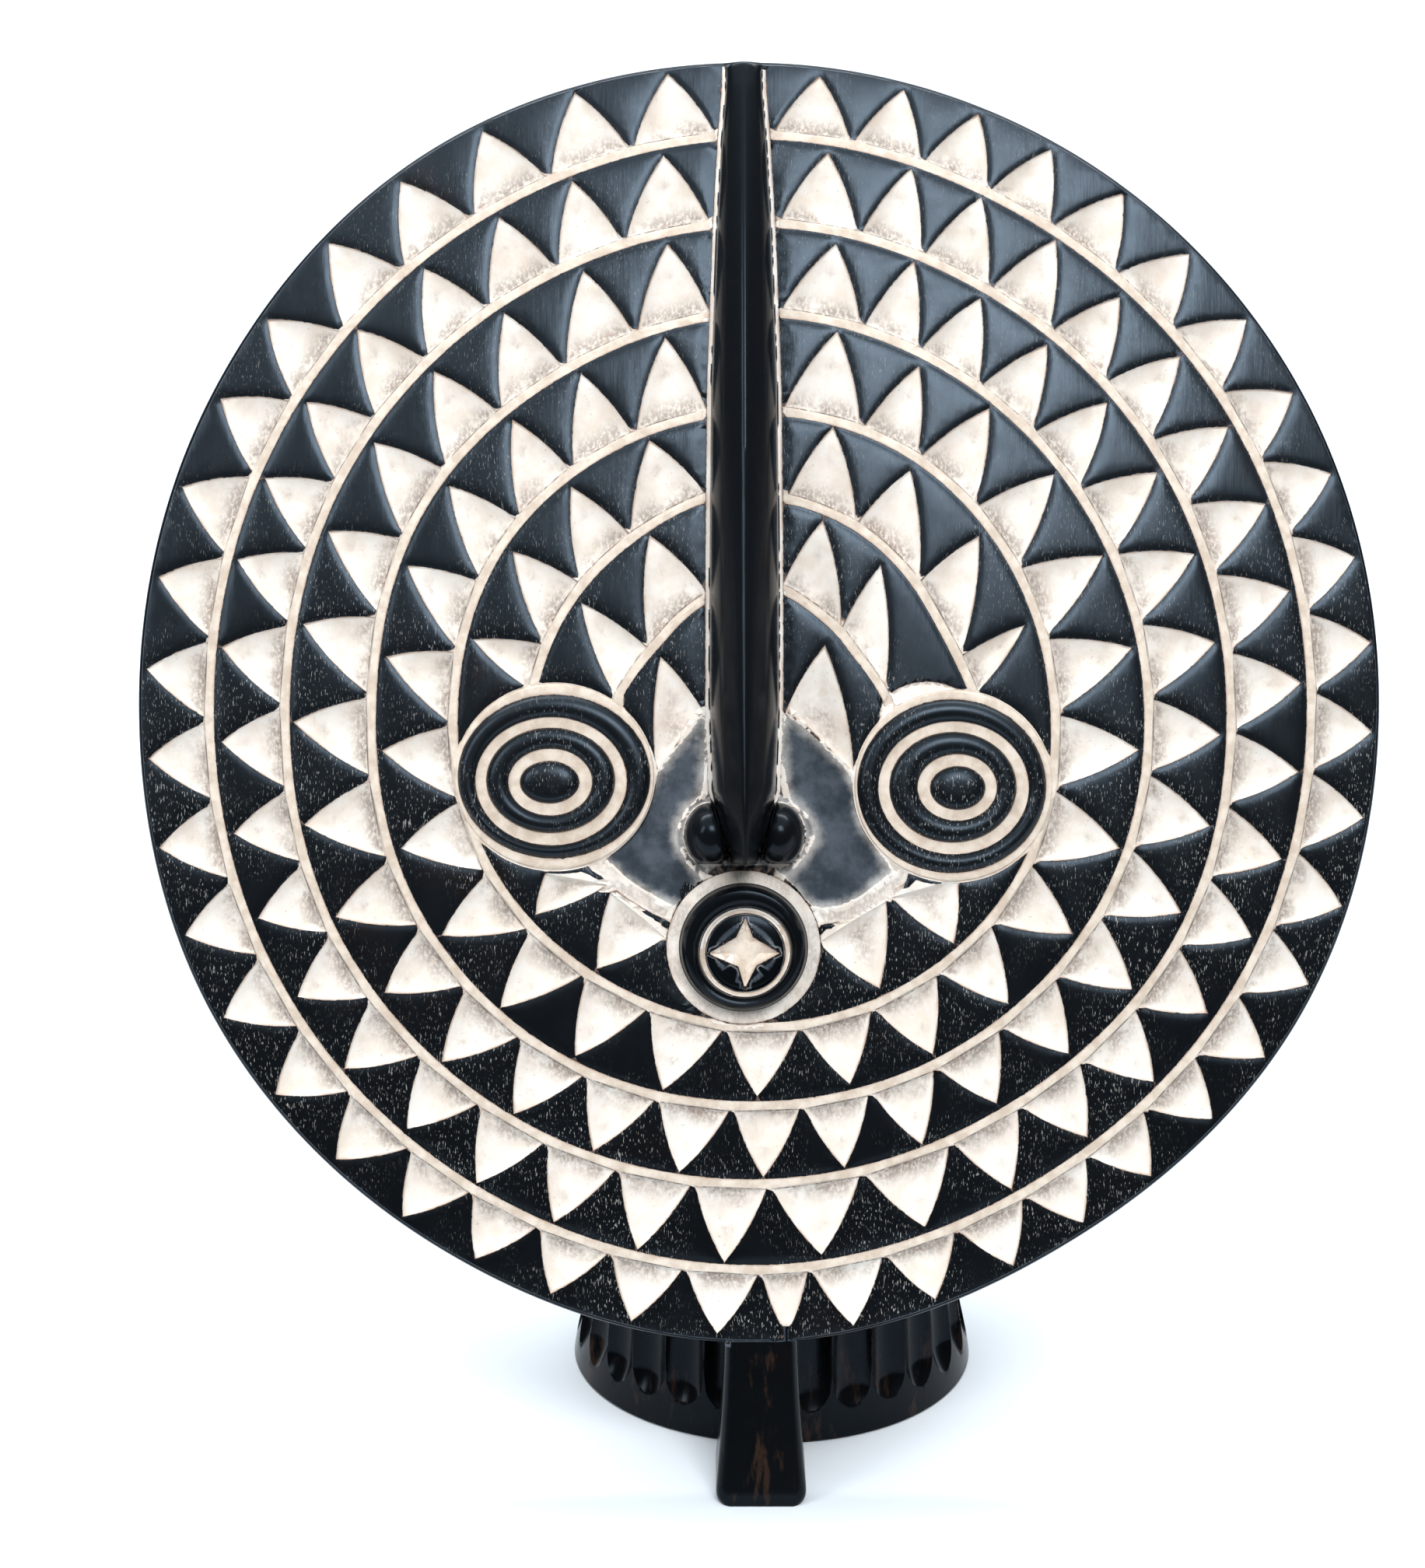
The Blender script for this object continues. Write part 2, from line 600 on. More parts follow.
def moved_out(loop, out):
    """A closed loop moved outwards."""
    after = np.roll(loop, -1, axis=0)
    way = after - np.roll(loop, 1, axis=0)
    normal = np.stack([way[:, 1], -way[:, 0]], axis=-1) / np.hypot(way[:, 0], way[:, 1])[:, None]
    turning = np.sign(np.sum(loop[:, 0] * after[:, 1] - after[:, 0] * loop[:, 1]))
    return loop + normal * out * turning


def in_pocket(u, v):
    """Share and scoop of the carved triangle at each point."""
    hit = np.full(np.shape(u), ABSENT)
    scoop = np.zeros(np.shape(u))
    for pocket in pockets:
        near = np.hypot(u - pocket.deepest[0], v - pocket.deepest[1]) < pocket.size + 0.1
        share = pocket.share(u[near], v[near])
        better = share > hit[near]
        scoop[near] = np.where(better, pocket.scoop(u[near], v[near]), scoop[near])
        hit[near] = np.where(better, share, hit[near])
    return hit, scoop


def line_out(u, v):
    """Distance outwards from the middle of the nearest ring line or arc."""
    r, angle = np.hypot(u, v), np.arctan2(u, v)
    best = np.full(np.shape(u), 99.0)
    for ring in RINGS:
        q = r - reach(ring, angle)
        best = np.where(np.abs(q) < np.abs(best), q, best)
    degrees = np.degrees(np.abs(angle))
    for arc in BROW_ARCS:
        for name, sign in (("right", 1), ("left", -1)):
            side = arc[name]
            q = r - smooth(side["line"], degrees)
            q = np.where((np.sign(u) == sign) & (degrees < side["cuts"][-1] + ARC_BEYOND), q, 99.0)
            best = np.where(np.abs(q) < np.abs(best), q, best)
    return best


def wood_edges():
    """Every edge where black wood meets cream."""
    edges = [dense(ring_line(ring, -LINE_HALF), True) for ring in RINGS]
    for arc in arcs:
        edges.append(dense(grown(arc, -LINE_HALF), False))
    for pocket in pockets:
        foot_a, foot_b, tip = pocket.corners
        for side, end in zip(pocket.sides, (tip, foot_b)):
            edges.append(dense(np.vstack([side, end[None]]), False))
    edges += [dense(loop, True) for loop in cheeks]
    for eye in EYES:
        edges.append(dense(eye_loop(eye, 1.0, 120), True))
    edges.append(round_line(MOUTH["u"], MOUTH["v"], MOUTH["surround"], MOUTH["surround"], 120))
    down = np.arange(NOSE_END, RIDGE_TOP - 2, 0.8)
    for sign in (-1, 1):
        foot = RIDGE_U + sign * (between(RIDGE, down, 1) + RIDGE_LINE)
        edges.append(np.stack([foot, down], axis=-1))
    return np.vstack(edges)


meeting_tree = tree_of(wood_edges())
cheek_tree = tree_of(np.vstack([dense(loop, True) for loop in cheeks]))


class Carving:
    """What gouge and brush leave at each point of the face, one form laid over the other."""

    def __init__(self, u, v):
        self.u, self.v = u, v
        self.aside = np.abs(u - RIDGE_U)
        self.gap = nearest(meeting_tree, u, v)
        self.plain_wood()
        self.ring_lines()
        self.triangles()
        self.cheeks()
        self.jaw()
        self.mouth_ground()
        self.brow()
        for eye in EYES:
            self.eye(eye)
        self.mouth()
        self.ridge_line()
        self.ridge_and_nostrils()

    def plain_wood(self):
        """Plain wood stands up like a cushion between the cuts."""
        self.over = PILLOW * (1 - np.exp(-self.gap / PILLOW_EDGE))
        self.paint = -self.gap
        self.deep = np.zeros_like(self.u)

    def ring_lines(self):
        q = self.line = line_out(self.u, self.v)
        self.rail = np.minimum(np.abs(q), OFF_LINE)
        on = (q > -LINE_HALF - 0.01) & (q < LINE_HALF + FOOT_GAP + 0.05)
        self.over = np.where(on, LINE_PROUD * (1 - (q / (LINE_HALF + FOOT_GAP)) ** 2), self.over)
        self.paint = np.where(on, np.maximum(self.gap, 0.02), self.paint)

    def triangles(self):
        q = self.line
        share, scoop = in_pocket(self.u, self.v)
        self.share, self.cut = share, share > -1e-6
        wall = TOOTH_WALL * np.clip(share / 0.05, 0, 1)
        depth = wall + (TOOTH_DEEP - TOOTH_WALL) * scoop ** 0.8 * np.clip(share / 0.08, 0, 1)
        self.over = np.where(self.cut, -depth, self.over)
        self.paint = np.where(self.cut, np.maximum(self.gap, 0.02), self.paint)
        # Dirt gathers at the foot, and all over a triangle that stands on no line
        foot_dirt = np.exp(-np.maximum(q - LINE_HALF, 0) / 6.0) * np.clip(share * 5, 0, 1)
        dirt = np.where((q > 0) & (q < 32), foot_dirt, np.clip(share, 0, 1) * 0.7)
        self.deep = np.where(self.cut, dirt, self.deep)

    def cheeks(self):
        """Smooth cheeks, a little hollow, with rubbed paint along their edges."""
        edge = self.edge = nearest(cheek_tree, self.u, self.v)
        panel = np.zeros(np.shape(self.u), bool)
        for loop in cheeks:
            panel |= inside(loop, self.u, self.v)
        self.panel, self.outside = panel, ~panel & ~self.cut
        self.over = np.where(panel, -CHEEK_HOLLOW * (1 - np.exp(-edge / CHEEK_EDGE)), self.over)
        self.paint = np.where(panel, np.maximum((1.3 - edge) * 0.6, -3), self.paint)
        border = self.outside & (edge < 4)
        self.paint = np.where(border, np.maximum(self.paint, 1.6 - edge), self.paint)
        self.rail = np.where(panel | (edge < 3), OFF_LINE, self.rail)

    def jaw(self):
        """The cream band under the cheeks reaches the feet of the triangles below it."""
        jaw = np.minimum(np.minimum(JAW - self.edge, JAW_TOP - self.v), JAW_ASIDE - self.aside)
        near_cut = (self.share > -0.35) & (jaw > -4)
        jaw = np.where(near_cut, np.maximum(jaw, 1.5), jaw)
        painted = np.maximum(self.paint, np.maximum(jaw, UNPAINTED))
        lowered = self.over + (-JAW_DEEP - self.over) * np.clip(jaw + 0.5, 0, 1)
        dirt = np.where(self.outside & (jaw > 0), 0.45, self.deep)
        self.paint = np.where(self.outside, painted, self.paint)
        self.over = np.where(self.outside, lowered, self.over)
        self.deep = np.where(self.panel, SLATE, dirt)

    def mouth_ground(self):
        """Painted ground round the mouth, smeared out over the grey under the nose."""
        around = np.hypot(self.u - MOUTH["u"], self.v - MOUTH["v"])
        ground = self.ground = around < MOUTH["surround"] + 0.01
        under = np.minimum(np.minimum(30 - self.aside, -38 - self.v), self.v - MOUTH["v"] - 8)
        under = np.where(self.panel, ABSENT, under)
        grey = (under > 0) & ~ground
        smear = np.clip(1.2 - (around - MOUTH["surround"]) * 0.45, -1.1, 1.2)
        self.over = np.where(ground | (under > 0), -GROUND_DEEP, self.over)
        self.paint = np.where(ground, np.maximum(MOUTH["surround"] - around, 0), self.paint)
        self.paint = np.where(grey, np.maximum(smear, 1.0 - under), self.paint)
        self.deep = np.where(grey, SLATE, np.where(ground, 0.4, self.deep))

    def brow(self):
        fold = np.where(self.cut, ABSENT, brow_fold(self.u, self.v))
        self.over = np.where(fold > 0, -FOLD_DEEP, self.over)
        self.paint = np.maximum(self.paint, np.clip(fold, UNPAINTED, 4))

    def eye(self, eye):
        s = eye_share(self.u, self.v, eye)
        on = s <= 1.0005
        band = np.full_like(self.u, ABSENT)
        for low, high in EYE_PAINT:
            band = np.maximum(band, np.minimum(s - low, high - s) * 60)
        self.over = np.where(on, between(EYE_SECTION, s, 1), self.over)
        self.paint = np.where(on, band, self.paint)
        self.deep = np.where(on, 0, self.deep)
        self.rail = np.where(on, np.where(band > 0, CREAM_BAND, OFF_LINE), self.rail)

    def mouth(self):
        """Two raised rings and a painted star sunk in the disc between them."""
        r = mouth_reach(self.u, self.v)
        on = np.hypot(self.u - MOUTH["u"], self.v - MOUTH["v"]) <= MOUTH["radius"] + 0.001
        inner, outer = MOUTH_PAINT
        over = np.where(on, between(MOUTH_SECTION, r, 1), self.over)
        paint = np.where(on, np.minimum(r - inner, outer - r) * 2.5, self.paint)
        s = star_share(self.u, self.v)
        in_star = on & (s > -1e-6)
        over = np.where(in_star, over - STAR_DEEP * np.clip(s * 3, 0, 1), over)
        beside_star = np.where(on & (r < 15), np.maximum(s * 8, UNPAINTED), paint)
        paint = np.where(in_star, s * 5, beside_star)
        deep = np.where(on, POLISHED, self.deep)
        deep = np.where(on & (paint > -1), 0.0, deep)
        deep = np.where(in_star, np.clip(s - 0.7, 0, 1) * 2.2, deep)
        rest = np.where(on | self.ground, OFF_LINE, self.rail)
        self.over, self.paint, self.deep = over, paint, deep
        self.rail = np.where(on & (paint > 0), CREAM_BAND, rest)

    def ridge_line(self):
        """The painted line along the foot of the ridge."""
        x = self.off_ridge = ridge_out(self.u, self.v)
        end = RIDGE_LINE + 0.05
        on = self.on_ridge_line = (x > -0.01) & (x < end) & (self.v > RIDGE_LINE_END)
        self.over = np.where(on, np.minimum(self.over, -RIDGE_LINE_DEEP), self.over)
        self.paint = np.where(on, np.minimum(x + 0.5, end - x), self.paint)
        self.deep = np.where(on, np.where(self.edge < 3, SLATE, 0), self.deep)

    def ridge_and_nostrils(self):
        u, v = self.u, self.v
        across = np.clip(self.aside / between(RIDGE, v, 1), 0, 1)
        nose = between(RIDGE, v, 2) * between(RIDGE_SECTION, across, 1)
        nose = np.where((self.off_ridge <= 0) & (v >= NOSE_END - 0.01), nose, ABSENT)
        s = nostril_share(u, v)
        ball = 1 + NOSTRIL["proud"] * np.sqrt(np.maximum(1 - s * s, 0))
        ball = np.where((s < 1) & (v >= NOSE_END - 0.01), ball, ABSENT)
        form = np.maximum(nose, ball)
        on = form > -1
        # A thin light line goes round the nostrils
        halo = ~on & (s < 1.3) & (v > NOSE_END - 2)
        paint = np.where(on, UNPAINTED, self.paint)
        self.over = np.where(on, form, self.over)
        self.paint = np.where(halo, np.maximum(paint, (1.045 - s) * 9), paint)
        self.deep = np.where(on, POLISHED, np.where(halo, SLATE, self.deep))
        self.rail = np.where(on | self.on_ridge_line | halo, OFF_LINE, self.rail)

    def marks(self):
        return self.paint, self.deep, self.rail


def draw_lines(plan):
    for ring in RINGS:
        for out in (-LINE_HALF, 0, LINE_HALF):
            plan.add(ring_line(ring, out), 1, joined=out != 0)
    for arc in arcs:
        for out in (-LINE_HALF, 0, LINE_HALF):
            plan.add(grown(arc, out), 1, closed=False, joined=out != 0)


def draw_pocket(plan, pocket):
    """The outline, the foot of the upright wall, loops that shrink inwards, and the three valleys."""
    inwards = pocket.deepest - pocket.outline
    plan.add(pocket.outline, 1)
    plan.add(pocket.outline + inwards * 0.05, 1)
    for share in (0.3, 0.55, 0.8):
        n = max(6, int(len(pocket.outline) * (1 - share)))
        pick = np.round(np.linspace(0, len(pocket.outline), n, endpoint=False)).astype(int)
        plan.add(pocket.outline[pick] + inwards[pick] * share, 1, joined=False)
    for corner in pocket.corners:
        valley = corner + (pocket.deepest - corner) * np.linspace(0.05, 1, 7)[:, None]
        plan.add(valley, 1, closed=False)


def draw_borders(plan):
    """Edges of the cheeks, and points along the borders of paint that no cut follows."""
    fold_u, fold_v, wide, high = BROW_FOLD
    borders = [round_line(fold_u, fold_v, wide + more, high + more, 60) for more in (-1.2, 0, 1.2)]
    for loop in cheeks:
        plan.add(loop, 2)
        borders += [moved_out(loop, out) for out in (-2.6, -1.3, 1.6, JAW - 1.2, JAW, JAW + 1.2)]
    for border in borders:
        free = in_pocket(border[:, 0], border[:, 1])[0] < -0.02
        plan.add(border[free], 2, joined=False)


def draw_eyes(plan):
    for eye in EYES:
        for share in [1.03] + [s for s, _ in EYE_SECTION[1:]] + [0.06]:
            plan.add(eye_loop(eye, share, max(8, int(100 * share) + 6)), 4)


def draw_mouth(plan):
    for r, _ in MOUTH_SECTION[1:]:
        mix = mouth_mix(r)
        u = MOUTH["hole_u"] * (1 - mix) + MOUTH["u"] * mix
        v = MOUTH["hole_v"] * (1 - mix) + MOUTH["v"] * mix
        plan.add(round_line(u, v, r, r, max(20, int(r * 3))), 5, joined=r > 14.5)
    middle = np.array([MOUTH["hole_u"], MOUTH["hole_v"]])
    plan.add(dense(np.array(star), True, 1.2), 6)
    for corner in star:
        plan.add(corner + (middle - corner) * np.linspace(0.1, 1, 8)[:, None], 6, closed=False)


def draw_ridge(plan):
    along = np.arange(NOSE_END, RIDGE_TOP, 2.4)
    half = between(RIDGE, along, 1)
    for share, _ in RIDGE_SECTION:
        for sign in ((-1, 1) if share else (1,)):
            line = np.stack([RIDGE_U + sign * share * half, along], axis=-1)
            plan.add(line[nostril_share(line[:, 0], line[:, 1]) > 0.0], 6, closed=False)
    for out in (0.5, RIDGE_LINE):
        for sign in (-1, 1):
            line = np.stack([RIDGE_U + sign * (half + out), along], axis=-1)
            plan.add(line[nostril_share(line[:, 0], line[:, 1]) > 1.06], 6, closed=False)


def draw_nostrils(plan):
    for side in (-1, 1):
        middle = RIDGE_U + side * NOSTRIL["out"]
        for share in (1.16, 1.08, 1.01, 0.995, 0.97, 0.92, 0.84, 0.72, 0.56, 0.38, 0.2):
            loop = round_line(middle, NOSTRIL["v"], share * NOSTRIL["wide"], share * NOSTRIL["high"], 40)
            clear = (share > 1) | (ridge_out(loop[:, 0], loop[:, 1]) > -7)
            plan.add(loop[(loop[:, 1] > NOSE_END + 0.6) & clear], 6, joined=False)
    across = np.arange(-30, 30.1, 1.2)
    for v in (NOSE_END, NOSE_END - 0.7):
        plan.add(np.stack([RIDGE_U + across, np.full_like(across, v)], axis=-1), 6, closed=False)


def edge_rows(out):
    """Rows of points on the plain wood beside each line and each triangle."""
    rows = []
    for ring in RINGS:
        rows.append(ring_line(ring, -LINE_HALF - out))
        rows.append(ring_line(ring, LINE_HALF + out))
    for arc in arcs:
        rows.append(grown(arc, -LINE_HALF - out))
    for pocket in pockets:
        heart = pocket.outline.mean(axis=0)
        for side in pocket.sides:
            way = side[-1] - side[0]
            normal = np.array([way[1], -way[0]]) / np.hypot(*way)
            if np.dot(normal, side.mean(axis=0) - heart) < 0:
                normal = -normal
            rows.append(side[1:] + normal * out)
    return rows


def plain_filling():
    """Points scattered evenly over the whole face, a little out of true."""
    fill = []
    count = int(2 * FILL_REACH / FILLING)
    for i in range(count):
        for j in range(count):
            fill.append((-FILL_REACH + FILLING * (i + 0.5 * (j % 2)), -FILL_REACH + FILLING * 0.9 * j))
    return np.array(fill) + chance.uniform(-0.5, 0.5, (len(fill), 2))


def fill_in(plan):
    """Adds rows that follow each edge and plain filling, where nothing is drawn."""
    drawn = tree_of(np.array(plan.points))
    rows = edge_rows(1.2) + edge_rows(2.8)
    fill = plain_filling()
    extra = np.vstack(rows + [fill])
    far = nearest(drawn, extra[:, 0], extra[:, 1])
    share, _ = in_pocket(extra[:, 0], extra[:, 1])
    hidden = covered(extra[:, 0], extra[:, 1], 1)
    on_line = np.abs(line_out(extra[:, 0], extra[:, 1])) < LINE_HALF + 0.5
    is_row = np.arange(len(extra)) < len(extra) - len(fill)
    keep = (far > np.where(is_row, 0.95, 1.9)) & (share < 0) & ~hidden & ~on_line
    # Points that crowd each other are thinned out
    taken = set()
    for point in extra[keep]:
        cell = (int(point[0] // 1.5), int(point[1] // 1.5))
        if cell not in taken:
            taken.add(cell)
            plan.points.append(point)


def draw_face():
    plan = Drawing()
    draw_lines(plan)
    for pocket in pockets:
        draw_pocket(plan, pocket)
    draw_borders(plan)
    for out in (MOUTH["surround"], MOUTH["radius"] + 0.5):
        plan.add(round_line(MOUTH["u"], MOUTH["v"], out, out, 80), 3)
    draw_eyes(plan)
    draw_mouth(plan)
    draw_ridge(plan)
    draw_nostrils(plan)
    fill_in(plan)
    return plan


def sheet_from(plan, rim):
    """Triangles over the whole face, ending on the rim points, which come last."""
    start = len(plan.points)
    points = [Vector((float(u), float(v))) for u, v in plan.points + list(rim)]
    edges = list(plan.edges) + [(start + i, start + (i + 1) % len(rim)) for i in range(len(rim))]
    edges = [(int(a), int(b)) for a, b in edges]
    verts, _, faces, orig, _, _ = delaunay_2d_cdt(points, edges, [], 0, 0.02, True)
    xy = np.array([(p.x, p.y) for p in verts])
    tri = np.array([f for f in faces if len(f) == 3])
    middle = xy[tri].mean(axis=1)
    angle = np.arctan2(middle[:, 0], middle[:, 1])
    tri = tri[np.hypot(middle[:, 0], middle[:, 1]) < reach(RIM, angle) - RIM_ROUND + 0.001]
    where = {}
    for new, olds in enumerate(orig):
        for old in olds:
            if old >= start:
                where[old - start] = new
    return xy, tri, [where[i] for i in range(len(rim))]


def mesh_object(name, points, faces, marks=()):
    """An object from points in millimetres, with its marks for the material."""
    mesh = bpy.data.meshes.new(name)
    mesh.from_pydata((np.asarray(points) * MM).tolist(), [], [list(map(int, f)) for f in faces])
    mesh.validate()
    for n, (key, bare) in enumerate(BARE):
        layer = mesh.attributes.new(key, "FLOAT", "POINT")
        data = np.full(len(mesh.vertices), bare, dtype=np.float32)
        if n < len(marks):
            data[:len(marks[n])] = marks[n]
        layer.data.foreach_set("value", data)
    obj = bpy.data.objects.new(name, mesh)
    bpy.context.scene.collection.objects.link(obj)
    return obj


def band(lower, upper):
    """Four-sided faces between two loops of the same number of points."""
    n = len(lower)
    return [(lower[i], lower[(i + 1) % n], upper[(i + 1) % n], upper[i]) for i in range(n)]


def back_height(share):
    """Height of the disc's back, from its middle out to its edge."""
    return -RIM_THICK + (DOME - MIDDLE_THICK + RIM_THICK) * (1 - share ** 2)


def disc_object():
    count = 440
    angle = np.linspace(0, TURN, count, endpoint=False)
    edge = reach(RIM, angle) - RIM_ROUND
    rim = on_disc(edge, angle)
    xy, tri, last = sheet_from(draw_face(), rim)
    u, v = xy[:, 0], xy[:, 1]
    face = Carving(u, v)
    points = [place(u, v, swell(u, v) + face.over)]
    faces = [tuple(t) for t in tri]
    total = len(u)
    # Round the rim over: distance out, distance down and how much of the carving still shows
    rest = swell(rim[:, 0], rim[:, 1])
    stand = face.over[last]
    for out, down, hold in ((0.7, -0.15, 0.9), (1.4, -0.7, 0.6), (1.85, -1.5, 0.2), (2.0, -3, 0),
                            (1.9, -7, 0), (1.2, -11.5, 0), (0.5, -RIM_THICK, 0)):
        ring = on_disc(edge + out, angle)
        points.append(place(ring[:, 0], ring[:, 1], rest + down + stand * hold))
        new = list(range(total, total + count))
        faces += band(last, new)
        total += count
        last = new
    # Close the back
    for share in (0.985, 0.93, 0.85, 0.75, 0.63, 0.5, 0.36, 0.2, 0.07):
        ring = on_disc(edge * share, angle)
        points.append(place(ring[:, 0], ring[:, 1], back_height(share)))
        new = list(range(total, total + count))
        faces += band(last, new)
        total += count
        last = new
    points.append(place([0.0], [0.0], DOME - MIDDLE_THICK))
    faces += [(last[i], last[(i + 1) % count], total) for i in range(count)]
    return mesh_object("disc", np.vstack(points), faces, face.marks())


def hood_row(z):
    """How far back the hood's middle lies at a height, its half width and its half depth."""
    return [between(HOOD, z, column) for column in (1, 2, 3)]


def closed_loft(name, loops):
    """A closed body from loops of points, capped at both ends."""
    n = len(loops[0])
    points = np.vstack(loops + [loops[0].mean(axis=0)[None], loops[-1].mean(axis=0)[None]])
    faces = []
    for k in range(len(loops) - 1):
        faces += band(range(k * n, (k + 1) * n), range((k + 1) * n, (k + 2) * n))
    low, high = n * len(loops), n * len(loops) + 1
    top = (len(loops) - 1) * n
    faces += [(low, (i + 1) % n, i) for i in range(n)]
    faces += [(high, top + i, top + (i + 1) % n) for i in range(n)]
    obj = mesh_object(name, points, faces)
    tidy_normals(obj)
    return obj


def tidy_normals(obj):
    """Turns every face outwards."""
    bm = bmesh.new()
    bm.from_mesh(obj.data)
    bmesh.ops.recalc_face_normals(bm, faces=bm.faces)
    bm.to_mesh(obj.data)
    bm.free()


def hood_loop(x, y, z):
    """A level loop, given from the hood's middle line, moved to its place."""
    return np.stack([x + DISC_X + HOOD_U, y + DISC_Y, np.full_like(x, z)], axis=-1)


def hood_object():
    angle = np.linspace(0, TURN, 200, endpoint=False)
    # The foot edge is rounded over, so the underside is a little smaller than the first row
    inset, lift = 1.2, 0.9
    back, wide, deep = hood_row(0)
    loops = [hood_loop((wide - inset) * np.sin(angle), back - (deep - inset) * np.cos(angle), 0)]
    top = HOOD[-1][0]
    for z in [*np.arange(0, 90, 4.0), *np.arange(92, 340, 8.0), top - 6, top - 3, top - 1, top]:
        back, wide, deep = hood_row(z)
        loops.append(hood_loop(wide * np.sin(angle), back - deep * np.cos(angle), max(z, lift)))
    return closed_loft("hood", loops)


def back_of_disc(z):
    """Where the back of the disc is at a height, or far in front below the disc."""
    v = (z - FACE_HEIGHT) / math.cos(LEAN)
    h = back_height(min(abs(v) / BACK_REACH, 1))
    return v * math.sin(LEAN) - h / math.cos(LEAN) if v > -BACK_REACH else -1000


def hollow_object():
    angle = np.linspace(0, TURN, 120, endpoint=False)
    loops = []
    for z in np.append(np.arange(-5, 310, 9.0), HOLLOW_TOP):
        back, wide, deep = hood_row(max(z, 0))
        closing = np.clip((z - HOLLOW_CLOSES) / (HOLLOW_TOP - HOLLOW_CLOSES), 0, 1)
        shrink = 1 - HOLLOW_SHRINK * closing ** 2
        x = (wide - WALL) * shrink * np.sin(angle)
        y = back - (deep - WALL) * shrink * np.cos(angle)
        y = np.maximum(y, min(back_of_disc(z) + HOLLOW_SKIN, back + HOLLOW_FRONT))
        loops.append(hood_loop(x, y, z))
    return closed_loft("hollow", loops)


def chin_section(wide, front, back, soft, crown=1.2):
    """A rectangle with rounded corners whose front swells a little in the middle."""
    points = []
    for x, y, start in ((wide - soft, front - soft, 0), (-wide + soft, front - soft, 90),
                        (-wide + soft, back + soft, 180), (wide - soft, back + soft, 270)):
        for a in np.radians(np.linspace(start, start + 90, 9)):
            points.append((x + soft * math.cos(a), y + soft * math.sin(a)))
    points = np.array(points)
    swelling = crown * (1 - (points[:, 0] / wide) ** 2)
    points[:, 1] += np.where(points[:, 1] > front - soft - 0.1, swelling - crown, 0)
    return points


def chin_object():
    loops = []
    foot_v = -FACE_HEIGHT / math.cos(LEAN)
    for share in [*np.linspace(0, 0.9, 22), 0.93, 0.955, 0.975, 0.99, 1.0]:
        wide = CHIN["wide_top"] + (CHIN["wide_foot"] - CHIN["wide_top"]) * share ** 1.6
        # The foot is tucked in at its very end
        tuck = 2.2 * max(0, (share - 0.9) / 0.1) ** 3
        section = chin_section(wide - tuck, CHIN["front"] - tuck * 0.5, CHIN["back"] + tuck, 4.2)
        end = foot_v - section[:, 1] * math.tan(LEAN)
        v = CHIN["top"] + (end - CHIN["top"]) * share
        loops.append(place(CHIN["u"] + section[:, 0], v, section[:, 1]))
    return closed_loft("chin", loops)


def join(target, other, how):
    """Adds one body to another or cuts it away, and keeps the marks on the mesh."""
    cut = target.modifiers.new("cut", "BOOLEAN")
    cut.operation = how
    cut.solver = "MANIFOLD"
    cut.object = other
    mesh = bpy.data.meshes.new_from_object(target.evaluated_get(bpy.context.evaluated_depsgraph_get()))
    target.modifiers.remove(cut)
    target.data = mesh
    bpy.data.objects.remove(other)


def bare_wood(obj):
    """Wood with no paint on it."""
    for key, value in BARE:
        layer = obj.data.attributes.get(key) or obj.data.attributes.new(key, "FLOAT", "POINT")
        layer.data.foreach_set("value", np.full(len(obj.data.vertices), value, dtype=np.float32))


